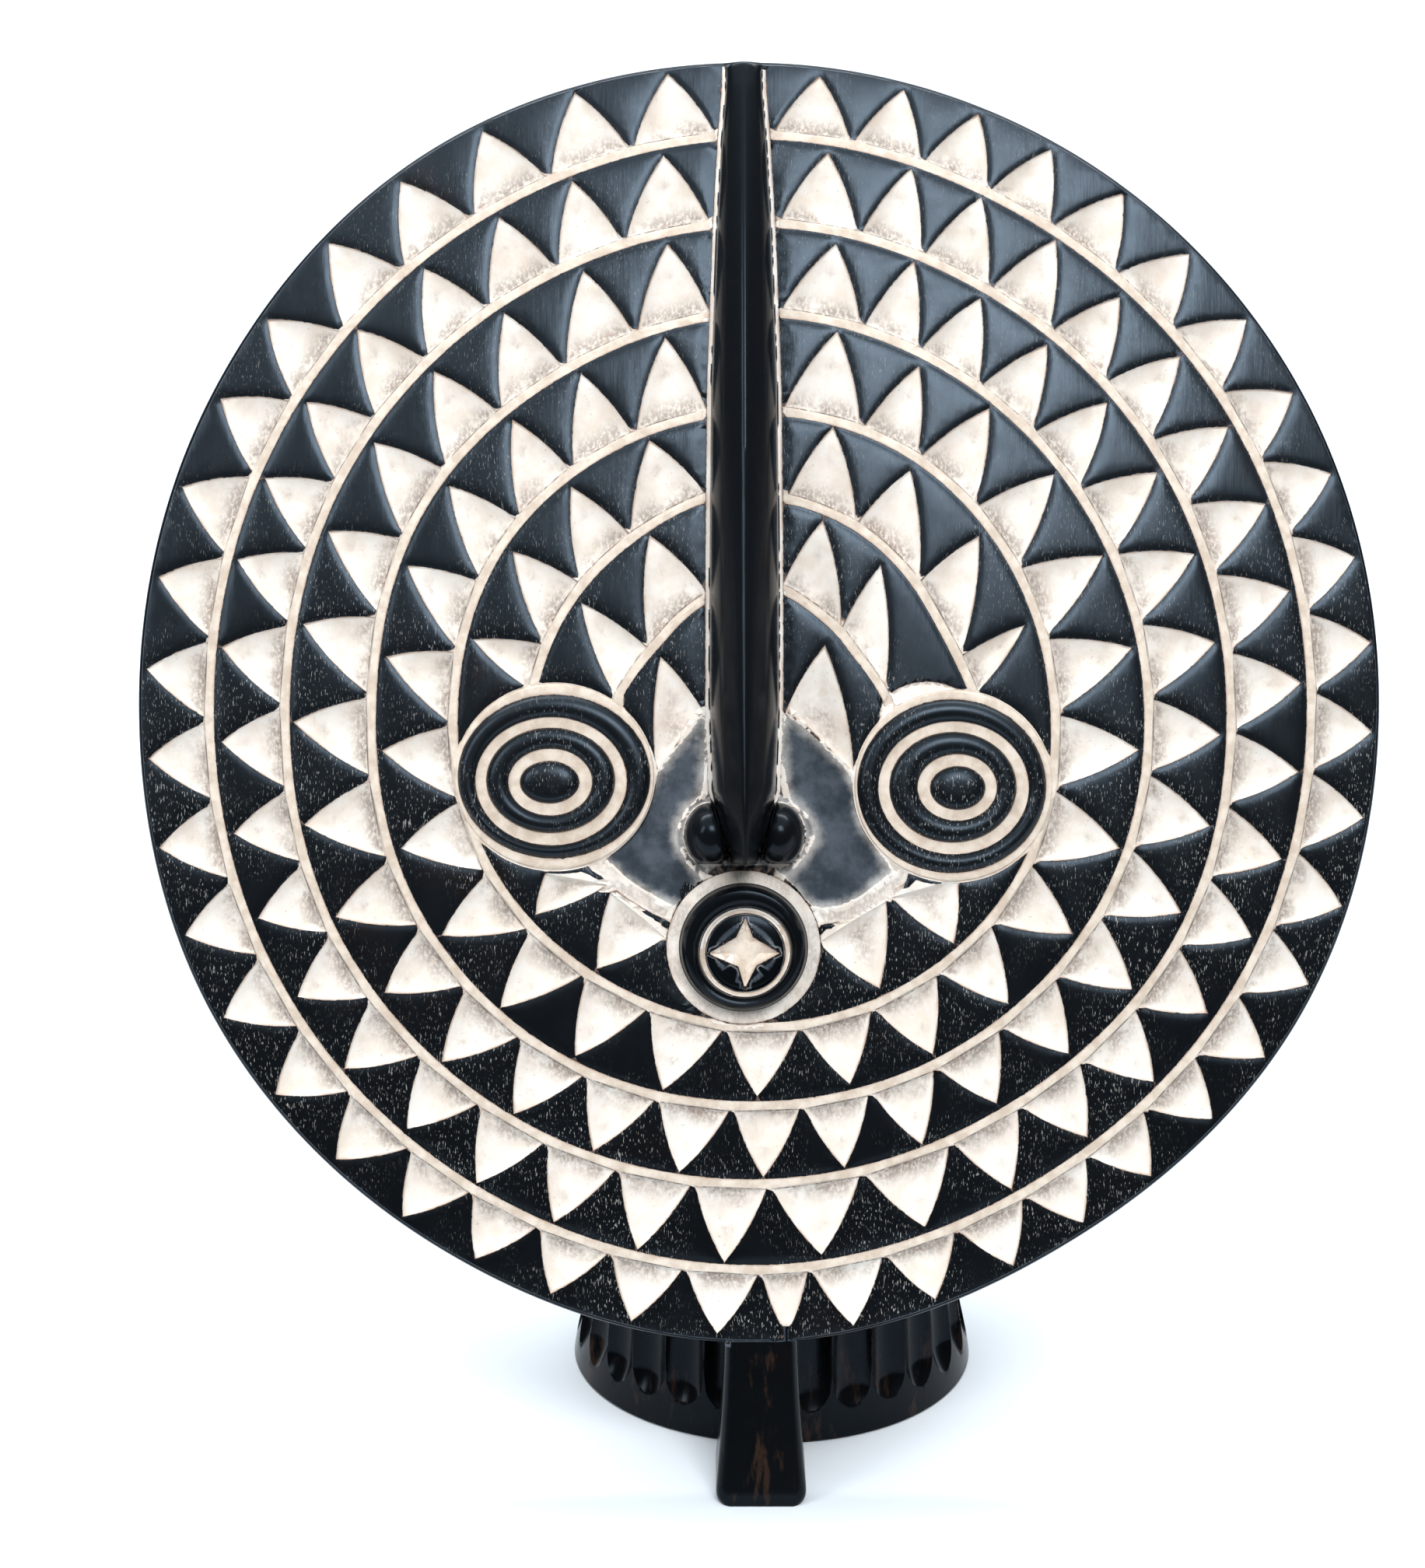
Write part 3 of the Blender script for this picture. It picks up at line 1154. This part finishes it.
def flute_cutters():
    """The gouge cuts round the collar, laid out by a Geometry Nodes tree."""
    tree = bpy.data.node_groups.new("collar flutes", "GeometryNodeTree")
    tree.interface.new_socket(name="Geometry", in_out="INPUT", socket_type="NodeSocketGeometry")
    sizes = []
    for name, kind, value in (
            ("Flutes", "NodeSocketInt", FLUTES), ("Turn", "NodeSocketFloat", math.radians(FLUTE_TURN)),
            ("Ring radius", "NodeSocketFloat", FLUTE_RING * MM),
            ("Gouge radius", "NodeSocketFloat", FLUTE_RADIUS * MM),
            ("Gouge stretch", "NodeSocketFloat", FLUTE_STRETCH),
            ("Lean in", "NodeSocketFloat", FLUTE_LEAN)):
        socket = tree.interface.new_socket(name=name, in_out="INPUT", socket_type=kind)
        sizes.append((socket.identifier, value))
    tree.interface.new_socket(name="Geometry", in_out="OUTPUT", socket_type="NodeSocketGeometry")
    add, link = tree.nodes.new, tree.links.new
    given, out = add("NodeGroupInput"), add("NodeGroupOutput")
    circle = add("GeometryNodeMeshCircle")
    turn = add("ShaderNodeCombineXYZ")
    turned = add("GeometryNodeTransform")
    ball = add("GeometryNodeMeshUVSphere")
    ball.inputs["Segments"].default_value = 40
    ball.inputs["Rings"].default_value = 44
    stretch = add("ShaderNodeCombineXYZ")
    stretch.inputs[0].default_value = 1.0
    stretch.inputs[1].default_value = 1.0
    shape = add("GeometryNodeTransform")
    lean = add("ShaderNodeCombineXYZ")
    tilt = add("GeometryNodeTransform")
    outwards = add("GeometryNodeInputPosition")
    face = add("FunctionNodeAlignEulerToVector")
    face.axis = "X"
    spread = add("GeometryNodeInstanceOnPoints")
    real = add("GeometryNodeRealizeInstances")
    paint = add("GeometryNodeSetMaterial")
    link(given.outputs["Flutes"], circle.inputs["Vertices"])
    link(given.outputs["Ring radius"], circle.inputs["Radius"])
    link(given.outputs["Turn"], turn.inputs[2])
    link(circle.outputs["Mesh"], turned.inputs["Geometry"])
    link(turn.outputs[0], turned.inputs["Rotation"])
    link(given.outputs["Gouge radius"], ball.inputs["Radius"])
    link(given.outputs["Gouge stretch"], stretch.inputs[2])
    link(ball.outputs["Mesh"], shape.inputs["Geometry"])
    link(stretch.outputs[0], shape.inputs["Scale"])
    link(given.outputs["Lean in"], lean.inputs[1])
    link(shape.outputs["Geometry"], tilt.inputs["Geometry"])
    link(lean.outputs[0], tilt.inputs["Rotation"])
    link(outwards.outputs[0], face.inputs["Vector"])
    link(turned.outputs["Geometry"], spread.inputs["Points"])
    link(tilt.outputs["Geometry"], spread.inputs["Instance"])
    link(face.outputs[0], spread.inputs["Rotation"])
    link(spread.outputs["Instances"], real.inputs["Geometry"])
    link(real.outputs["Geometry"], paint.inputs["Geometry"])
    link(paint.outputs["Geometry"], out.inputs["Geometry"])
    host = bpy.data.objects.new("flute host", bpy.data.meshes.new("flute host"))
    bpy.context.scene.collection.objects.link(host)
    nodes = host.modifiers.new("flutes", "NODES")
    nodes.node_group = tree
    for identifier, value in sizes:
        nodes[identifier] = value
    mesh = bpy.data.meshes.new_from_object(host.evaluated_get(bpy.context.evaluated_depsgraph_get()))
    bpy.data.objects.remove(host)
    # The collar is not quite round, so the ring of cuts follows its half width and depth
    _, wide, deep = hood_row(FLUTE_MIDDLE)
    shift = ((DISC_X + HOOD_U) * MM, (FLUTE_BACK + DISC_Y) * MM, FLUTE_MIDDLE * MM)
    place_mesh(mesh, (1, deep / wide, 1), FLUTE_BELOW, shift)
    obj = bpy.data.objects.new("flutes", mesh)
    bpy.context.scene.collection.objects.link(obj)
    return obj


def place_mesh(mesh, scale, below, shift):
    """Scales and moves a mesh, shortening what lies below its middle."""
    data = np.empty(len(mesh.vertices) * 3, dtype=np.float32)
    mesh.vertices.foreach_get("co", data)
    data = data.reshape(-1, 3) * np.array(scale, dtype=np.float32)
    data[:, 2] *= np.where(data[:, 2] < 0, below, 1)
    data += np.array(shift, dtype=np.float32)
    mesh.vertices.foreach_set("co", data.ravel())
    mesh.update()


# Materials

class Nodes:
    """Short words for building a shader."""

    def __init__(self, name):
        self.material = bpy.data.materials.new(name)
        self.material.use_nodes = True
        self.tree = self.material.node_tree
        self.tree.nodes.clear()
        self.out = self.tree.nodes.new("ShaderNodeOutputMaterial")
        self.place = self.tree.nodes.new("ShaderNodeTexCoord").outputs["Object"]

    def node(self, kind, **values):
        n = self.tree.nodes.new(kind)
        for key, value in values.items():
            setattr(n, key, value)
        return n

    def put(self, socket, value):
        if isinstance(value, bpy.types.NodeSocket):
            self.tree.links.new(value, socket)
        else:
            socket.default_value = value

    def math(self, how, a, b=0.0):
        n = self.node("ShaderNodeMath", operation=how)
        self.put(n.inputs[0], a)
        self.put(n.inputs[1], b)
        return n.outputs[0]

    def times(self, a, b):
        return self.math("MULTIPLY", a, b)

    def plus(self, a, b):
        return self.math("ADD", a, b)

    def less(self, a, b):
        return self.math("SUBTRACT", a, b)

    def along_grain(self, stretch):
        """Object coordinates drawn out up and down the face."""
        n = self.node("ShaderNodeMapping")
        self.put(n.inputs["Vector"], self.place)
        n.inputs["Scale"].default_value = (1, stretch, stretch)
        return n.outputs[0]

    def height(self):
        """How high above the floor, in metres."""
        n = self.node("ShaderNodeSeparateXYZ")
        self.put(n.inputs[0], self.place)
        return n.outputs[2]

    def noise(self, where, scale, detail, rough):
        n = self.node("ShaderNodeTexNoise")
        self.put(n.inputs["Vector"], where)
        n.inputs["Scale"].default_value = scale
        n.inputs["Detail"].default_value = detail
        n.inputs["Roughness"].default_value = rough
        return n.outputs[0]

    def span(self, value, low, high):
        """Runs softly from 0 to 1 as the value goes from low to high."""
        n = self.node("ShaderNodeMapRange", interpolation_type="SMOOTHSTEP")
        self.put(n.inputs["Value"], value)
        n.inputs["From Min"].default_value = low
        n.inputs["From Max"].default_value = high
        return n.outputs[0]

    def mix(self, share, a, b):
        n = self.node("ShaderNodeMix", data_type="RGBA")
        self.put(n.inputs[0], share)
        self.put(n.inputs[6], a if isinstance(a, bpy.types.NodeSocket) else (*a, 1))
        self.put(n.inputs[7], b if isinstance(b, bpy.types.NodeSocket) else (*b, 1))
        return n.outputs[2]

    def mark(self, name):
        """A mark that the mesh carries."""
        n = self.node("ShaderNodeAttribute", attribute_name=name, attribute_type="GEOMETRY")
        return n.outputs["Fac"]

    def bump(self, height, strength, distance, under=None):
        n = self.node("ShaderNodeBump")
        n.inputs["Strength"].default_value = strength
        n.inputs["Distance"].default_value = distance
        self.put(n.inputs["Height"], height)
        if under is not None:
            self.put(n.inputs["Normal"], under)
        return n.outputs[0]


# Colours of the stains, the paint and the dirt, from dark to light where there are two
BLACK_STAIN = (0.0026, 0.0033, 0.0042), (0.0068, 0.0088, 0.0112)
DULL_BLACK = (0.0016, 0.0019, 0.0022)
WORN_BROWN = (0.016, 0.0068, 0.0042)
SCUFFED_WOOD = (0.15, 0.075, 0.044)
SLATE_STAIN = (0.030, 0.038, 0.048), (0.075, 0.090, 0.108)
CHALK = (0.50, 0.50, 0.48)
CREAM_PAINT = (0.74, 0.655, 0.57), (0.83, 0.79, 0.735)
BLUSH = (0.74, 0.58, 0.49)
DIRT = (0.13, 0.125, 0.125), (0.19, 0.115, 0.075)
DIRT_FILM = (0.48, 0.40, 0.34)
FLECKS = (0.30, 0.24, 0.20)
BUFF_LINE = (0.56, 0.46, 0.37), (0.74, 0.655, 0.56)
CORNER_DIRT = (0.10, 0.065, 0.05)
RUBBED_PAINT = (0.46, 0.33, 0.25)
PAINT_EDGE = (0.13, 0.08, 0.06)
FLOOR_COLOUR = (0.66, 0.71, 0.76), (0.70, 0.75, 0.795)


class MaskMarks:
    """What the finishes of the mask share: the marks of its mesh and the common patterns."""

    def __init__(self, m):
        self.paint, self.deep, self.rail = m.mark("paint"), m.mark("deep"), m.mark("rail")
        self.polished = m.span(self.deep, -0.3, -0.75)
        self.slate = m.times(m.span(self.deep, -0.2, -0.42), m.span(self.deep, -0.8, -0.55))
        self.broad = m.noise(m.along_grain(0.3), 22, 3, 0.55)
        self.mottle = m.noise(m.place, 75, 5, 0.65)
        self.smudge = m.noise(m.place, 62, 4, 0.62)
        self.streaks = m.noise(m.along_grain(0.2), 420, 4, 0.7)
        self.dashes = self.chalk_in_pores(m)

    def chalk_in_pores(self, m):
        """Chalk left in the pores shows as short pale dashes down the grain, most of it low down."""
        pores = m.noise(m.along_grain(0.17), 2900, 1.0, 0.4)
        some = m.span(m.noise(m.place, 24, 3, 0.6), 0.38, 0.60)
        low_down = m.span(m.height(), 0.46, 0.22)
        some = m.times(some, m.plus(m.times(low_down, 0.7), 0.3))
        carved = m.less(1.0, m.span(self.deep, -0.15, -0.4))
        return m.times(m.times(m.span(pores, 0.65, 0.71), some), carved)


def black_stain(m, marks):
    """Black stain, rubbed thin and brown here and there, and slate coloured on the cheeks."""
    black = m.mix(marks.broad, *BLACK_STAIN)
    worn = m.span(m.noise(m.place, 13, 5, 0.68), 0.56, 0.74)
    black = m.mix(m.times(worn, 0.6), black, WORN_BROWN)
    # Scuffs on the collar and the chin block
    scuffs = m.times(m.span(m.noise(m.along_grain(0.25), 130, 4, 0.7), 0.54, 0.68), marks.polished)
    scuffs = m.times(scuffs, m.span(m.height(), 0.085, 0.06))
    black = m.mix(m.times(scuffs, 0.6), black, SCUFFED_WOOD)
    black = m.mix(m.times(m.span(m.height(), 0.42, 0.08), 0.75), black, DULL_BLACK)
    black = m.mix(marks.slate, black, m.mix(m.span(marks.mottle, 0.35, 0.65), *SLATE_STAIN))
    return m.mix(m.times(marks.dashes, 0.6), black, CHALK)


def cream_paint(m, marks):
    """Cream paint, dirty where the cuts run down to the ring lines."""
    cream = m.mix(m.span(marks.mottle, 0.32, 0.62), *CREAM_PAINT)
    blush = m.span(m.noise(m.place, 38, 4, 0.6), 0.52, 0.72)
    cream = m.mix(m.times(blush, 0.35), cream, BLUSH)
    grit = m.noise(m.along_grain(0.6), 850, 3, 0.7)
    held = m.times(m.span(marks.deep, 0.12, 0.8), m.span(marks.smudge, 0.36, 0.56))
    held = m.times(held, m.span(grit, 0.34, 0.58))
    cream = m.mix(m.times(held, 0.9), cream, m.mix(m.span(marks.mottle, 0.45, 0.6), *DIRT))
    film = m.times(m.span(marks.deep, 0.05, 0.7), m.span(marks.smudge, 0.3, 0.55))
    cream = m.mix(m.times(film, 0.4), cream, DIRT_FILM)
    fleck = m.span(m.noise(m.place, 620, 2, 0.5), 0.67, 0.75)
    cream = m.mix(m.times(fleck, 0.35), cream, FLECKS)
    # Ring lines are a darker buff, outlined by dirt in the corners beside them
    buff = m.mix(m.span(m.noise(m.place, 160, 4, 0.6), 0.3, 0.7), *BUFF_LINE)
    cream = m.mix(m.span(marks.rail, 2.05, 1.75), cream, buff)
    corner = m.math("ABSOLUTE", m.less(marks.rail, 2.15))
    corner = m.times(m.span(corner, 0.5, 0.05), m.span(marks.streaks, 0.3, 0.62))
    cream = m.mix(m.times(corner, 0.85), cream, CORNER_DIRT)
    # Away from the cheeks the paint is rubbed thin along its edge, and dark at the very edge
    off_cheek = m.less(1.0, marks.slate)
    rubbed = m.times(m.span(marks.paint, 1.1, 0.2), m.span(marks.smudge, 0.35, 0.6))
    cream = m.mix(m.times(m.times(rubbed, off_cheek), 0.75), cream, RUBBED_PAINT)
    return m.mix(m.times(m.span(marks.paint, 0.3, 0.0), off_cheek), cream, PAINT_EDGE)


def paint_cover(m, marks):
    """1 where the paint covers the wood, with an edge that wanders a little."""
    wander = m.times(m.less(m.noise(m.place, 480, 3, 0.65), 0.5), 1.5)
    painted = m.span(m.plus(marks.paint, wander), -0.12, 0.2)
    # Round the slate cheeks the cream is rubbed out thinly over their edges
    thin = m.plus(marks.paint, m.times(m.less(marks.mottle, 0.5), 5.0))
    thin = m.times(m.times(m.span(thin, -2.4, 1.4), marks.slate), 0.55)
    return m.math("MAXIMUM", painted, thin)


def mask_surface(m, marks, painted):
    """Gouge marks, pores and brush marks, each laid over the one before."""
    hand = m.bump(marks.broad, 0.3, 0.0012)
    grain = m.noise(m.along_grain(0.07), 900, 3, 0.6)
    fine = m.bump(m.plus(grain, m.times(marks.dashes, 0.5)), 0.2, 0.00025, hand)
    tooling = m.noise(m.along_grain(0.35), 170, 2, 0.5)
    worked = m.bump(m.times(tooling, m.less(1.0, marks.polished)), 0.35, 0.0004, fine)
    return m.bump(m.times(painted, m.plus(marks.streaks, 0.6)), 0.4, 0.00025, worked)


def stained_wood():
    m = Nodes("stained wood with cream paint")
    marks = MaskMarks(m)
    painted = paint_cover(m, marks)
    shader = m.node("ShaderNodeBsdfPrincipled")
    m.put(shader.inputs["Base Color"], m.mix(painted, black_stain(m, marks), cream_paint(m, marks)))
    satin = m.less(m.plus(m.times(marks.mottle, 0.2), 0.24), m.times(marks.polished, 0.13))
    rough = m.node("ShaderNodeMix", data_type="FLOAT")
    m.put(rough.inputs[0], painted)
    m.put(rough.inputs[2], satin)
    rough.inputs[3].default_value = 0.7
    m.put(shader.inputs["Roughness"], rough.outputs[0])
    # The upper face has kept its sheen, the lower face has gone dull
    rise = m.span(m.height(), 0.08, 0.42)
    sheen = m.times(m.plus(0.17, m.times(rise, 0.25)), m.less(1.0, marks.polished))
    sheen = m.plus(sheen, m.times(marks.polished, 0.14))
    m.put(shader.inputs["Specular IOR Level"], sheen)
    shader.inputs["Specular Tint"].default_value = (0.62, 0.80, 1.0, 1)
    m.put(shader.inputs["Normal"], mask_surface(m, marks, painted))
    m.put(m.out.inputs["Surface"], shader.outputs[0])
    return m.material


def pale_floor():
    m = Nodes("pale floor")
    shader = m.node("ShaderNodeBsdfPrincipled")
    cloud = m.noise(m.place, 3, 2, 0.5)
    m.put(shader.inputs["Base Color"], m.mix(cloud, *FLOOR_COLOUR))
    shader.inputs["Roughness"].default_value = 0.75
    m.put(m.out.inputs["Surface"], shader.outputs[0])
    return m.material


def carved_mask():
    """The whole mask: disc, hood with its hollow and flutes, and chin block, joined into one."""
    mask = disc_object()
    tidy_normals(mask)
    hood = hood_object()
    join(hood, flute_cutters(), "DIFFERENCE")
    join(hood, hollow_object(), "DIFFERENCE")
    bare_wood(hood)
    join(mask, hood, "UNION")
    join(mask, chin_object(), "UNION")
    mask.name = "mask_carved"
    mask.data.name = "mask_carved"
    mask.data.materials.clear()
    mask.data.materials.append(stained_wood())
    mask.data.polygons.foreach_set("use_smooth", np.ones(len(mask.data.polygons), dtype=bool))
    mask.data.set_sharp_from_angle(angle=math.radians(32))
    return mask


# The stage, in metres: floor from in front of the mask to the foot of the sweep, radius of the
# sweep that takes it up into the wall, height of the wall and half the width of it all
FLOOR_FRONT = -0.42
FLOOR_BACK = 2.4
SWEEP = 0.8
STAGE_HEIGHT = 3.2
STAGE_HALF = 4.5


def stage_floor():
    """A pale floor that rises into a plain wall well behind the mask."""
    turn = np.linspace(0.1, math.pi / 2, 16)
    profile = [(FLOOR_FRONT, 0.0), (FLOOR_BACK, 0.0)]
    profile += [(FLOOR_BACK + SWEEP * math.sin(t), SWEEP - SWEEP * math.cos(t)) for t in turn]
    profile += [(FLOOR_BACK + SWEEP, STAGE_HEIGHT)]
    points = [(x, y, z) for y, z in profile for x in (-STAGE_HALF, STAGE_HALF)]
    faces = [(2 * i, 2 * i + 1, 2 * i + 3, 2 * i + 2) for i in range(len(profile) - 1)]
    mesh = bpy.data.meshes.new("floor")
    mesh.from_pydata(points, [], faces)
    mesh.polygons.foreach_set("use_smooth", np.ones(len(faces), dtype=bool))
    mesh.materials.append(pale_floor())
    floor = bpy.data.objects.new("floor", mesh)
    bpy.context.scene.collection.objects.link(floor)
    return floor


def dim_room():
    """Light from above, and a dark room in front of the mask."""
    world = bpy.data.worlds.new("studio")
    bpy.context.scene.world = world
    world.use_nodes = True
    nodes, link = world.node_tree.nodes, world.node_tree.links.new
    sky = nodes["Background"]
    split = nodes.new("ShaderNodeSeparateXYZ")
    rise = nodes.new("ShaderNodeMapRange")
    rise.interpolation_type = "SMOOTHSTEP"
    link(nodes.new("ShaderNodeTexCoord").outputs["Generated"], split.inputs[0])
    link(split.outputs[2], rise.inputs["Value"])
    for key, value in (("From Min", 0.45), ("From Max", 0.85), ("To Min", 0.05), ("To Max", 1.5)):
        rise.inputs[key].default_value = value
    link(rise.outputs[0], sky.inputs["Strength"])
    sky.inputs["Color"].default_value = (0.90, 0.96, 1.0, 1)


def soft_light(name, at, aim, size, power):
    """A rectangular light, in metres and watts."""
    lamp = bpy.data.lights.new(name, "AREA")
    lamp.shape = "RECTANGLE"
    lamp.size, lamp.size_y = size
    lamp.energy = power
    obj = bpy.data.objects.new(name, lamp)
    obj.location = at
    obj.rotation_euler = (Vector(aim) - Vector(at)).to_track_quat("-Z", "Y").to_euler()
    bpy.context.scene.collection.objects.link(obj)


# The camera stands square on to the disc, a little below and left of its middle, in the disc's frame
CAMERA_AT = (-19.25, -33.3, 1254.0)
CAMERA_LENS = 71.4


def square_on_camera():
    camera = bpy.data.cameras.new("camera")
    camera.lens = CAMERA_LENS
    camera.sensor_width = 36
    obj = bpy.data.objects.new("camera", camera)
    obj.location = (place(*CAMERA_AT) * MM).tolist()
    obj.rotation_euler = (math.radians(90) - LEAN, 0, 0)
    bpy.context.scene.collection.objects.link(obj)
    bpy.context.scene.camera = obj
    bpy.context.scene.view_settings.view_transform = "Standard"


mask = carved_mask()
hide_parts("mask")
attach(mask, "root")
floor = stage_floor()
dim_room()
soft_light("key", (0.30, -1.3, 1.45), (0, 0, 0.3), (0.8, 0.7), 26)
soft_light("fill", (-1.45, -0.95, 1.25), (0, 0, 0.3), (0.6, 0.9), 13)
soft_light("backdrop", (0, 0.7, 2.3), (0, 2.7, 0.2), (3.4, 0.8), 125)
square_on_camera()
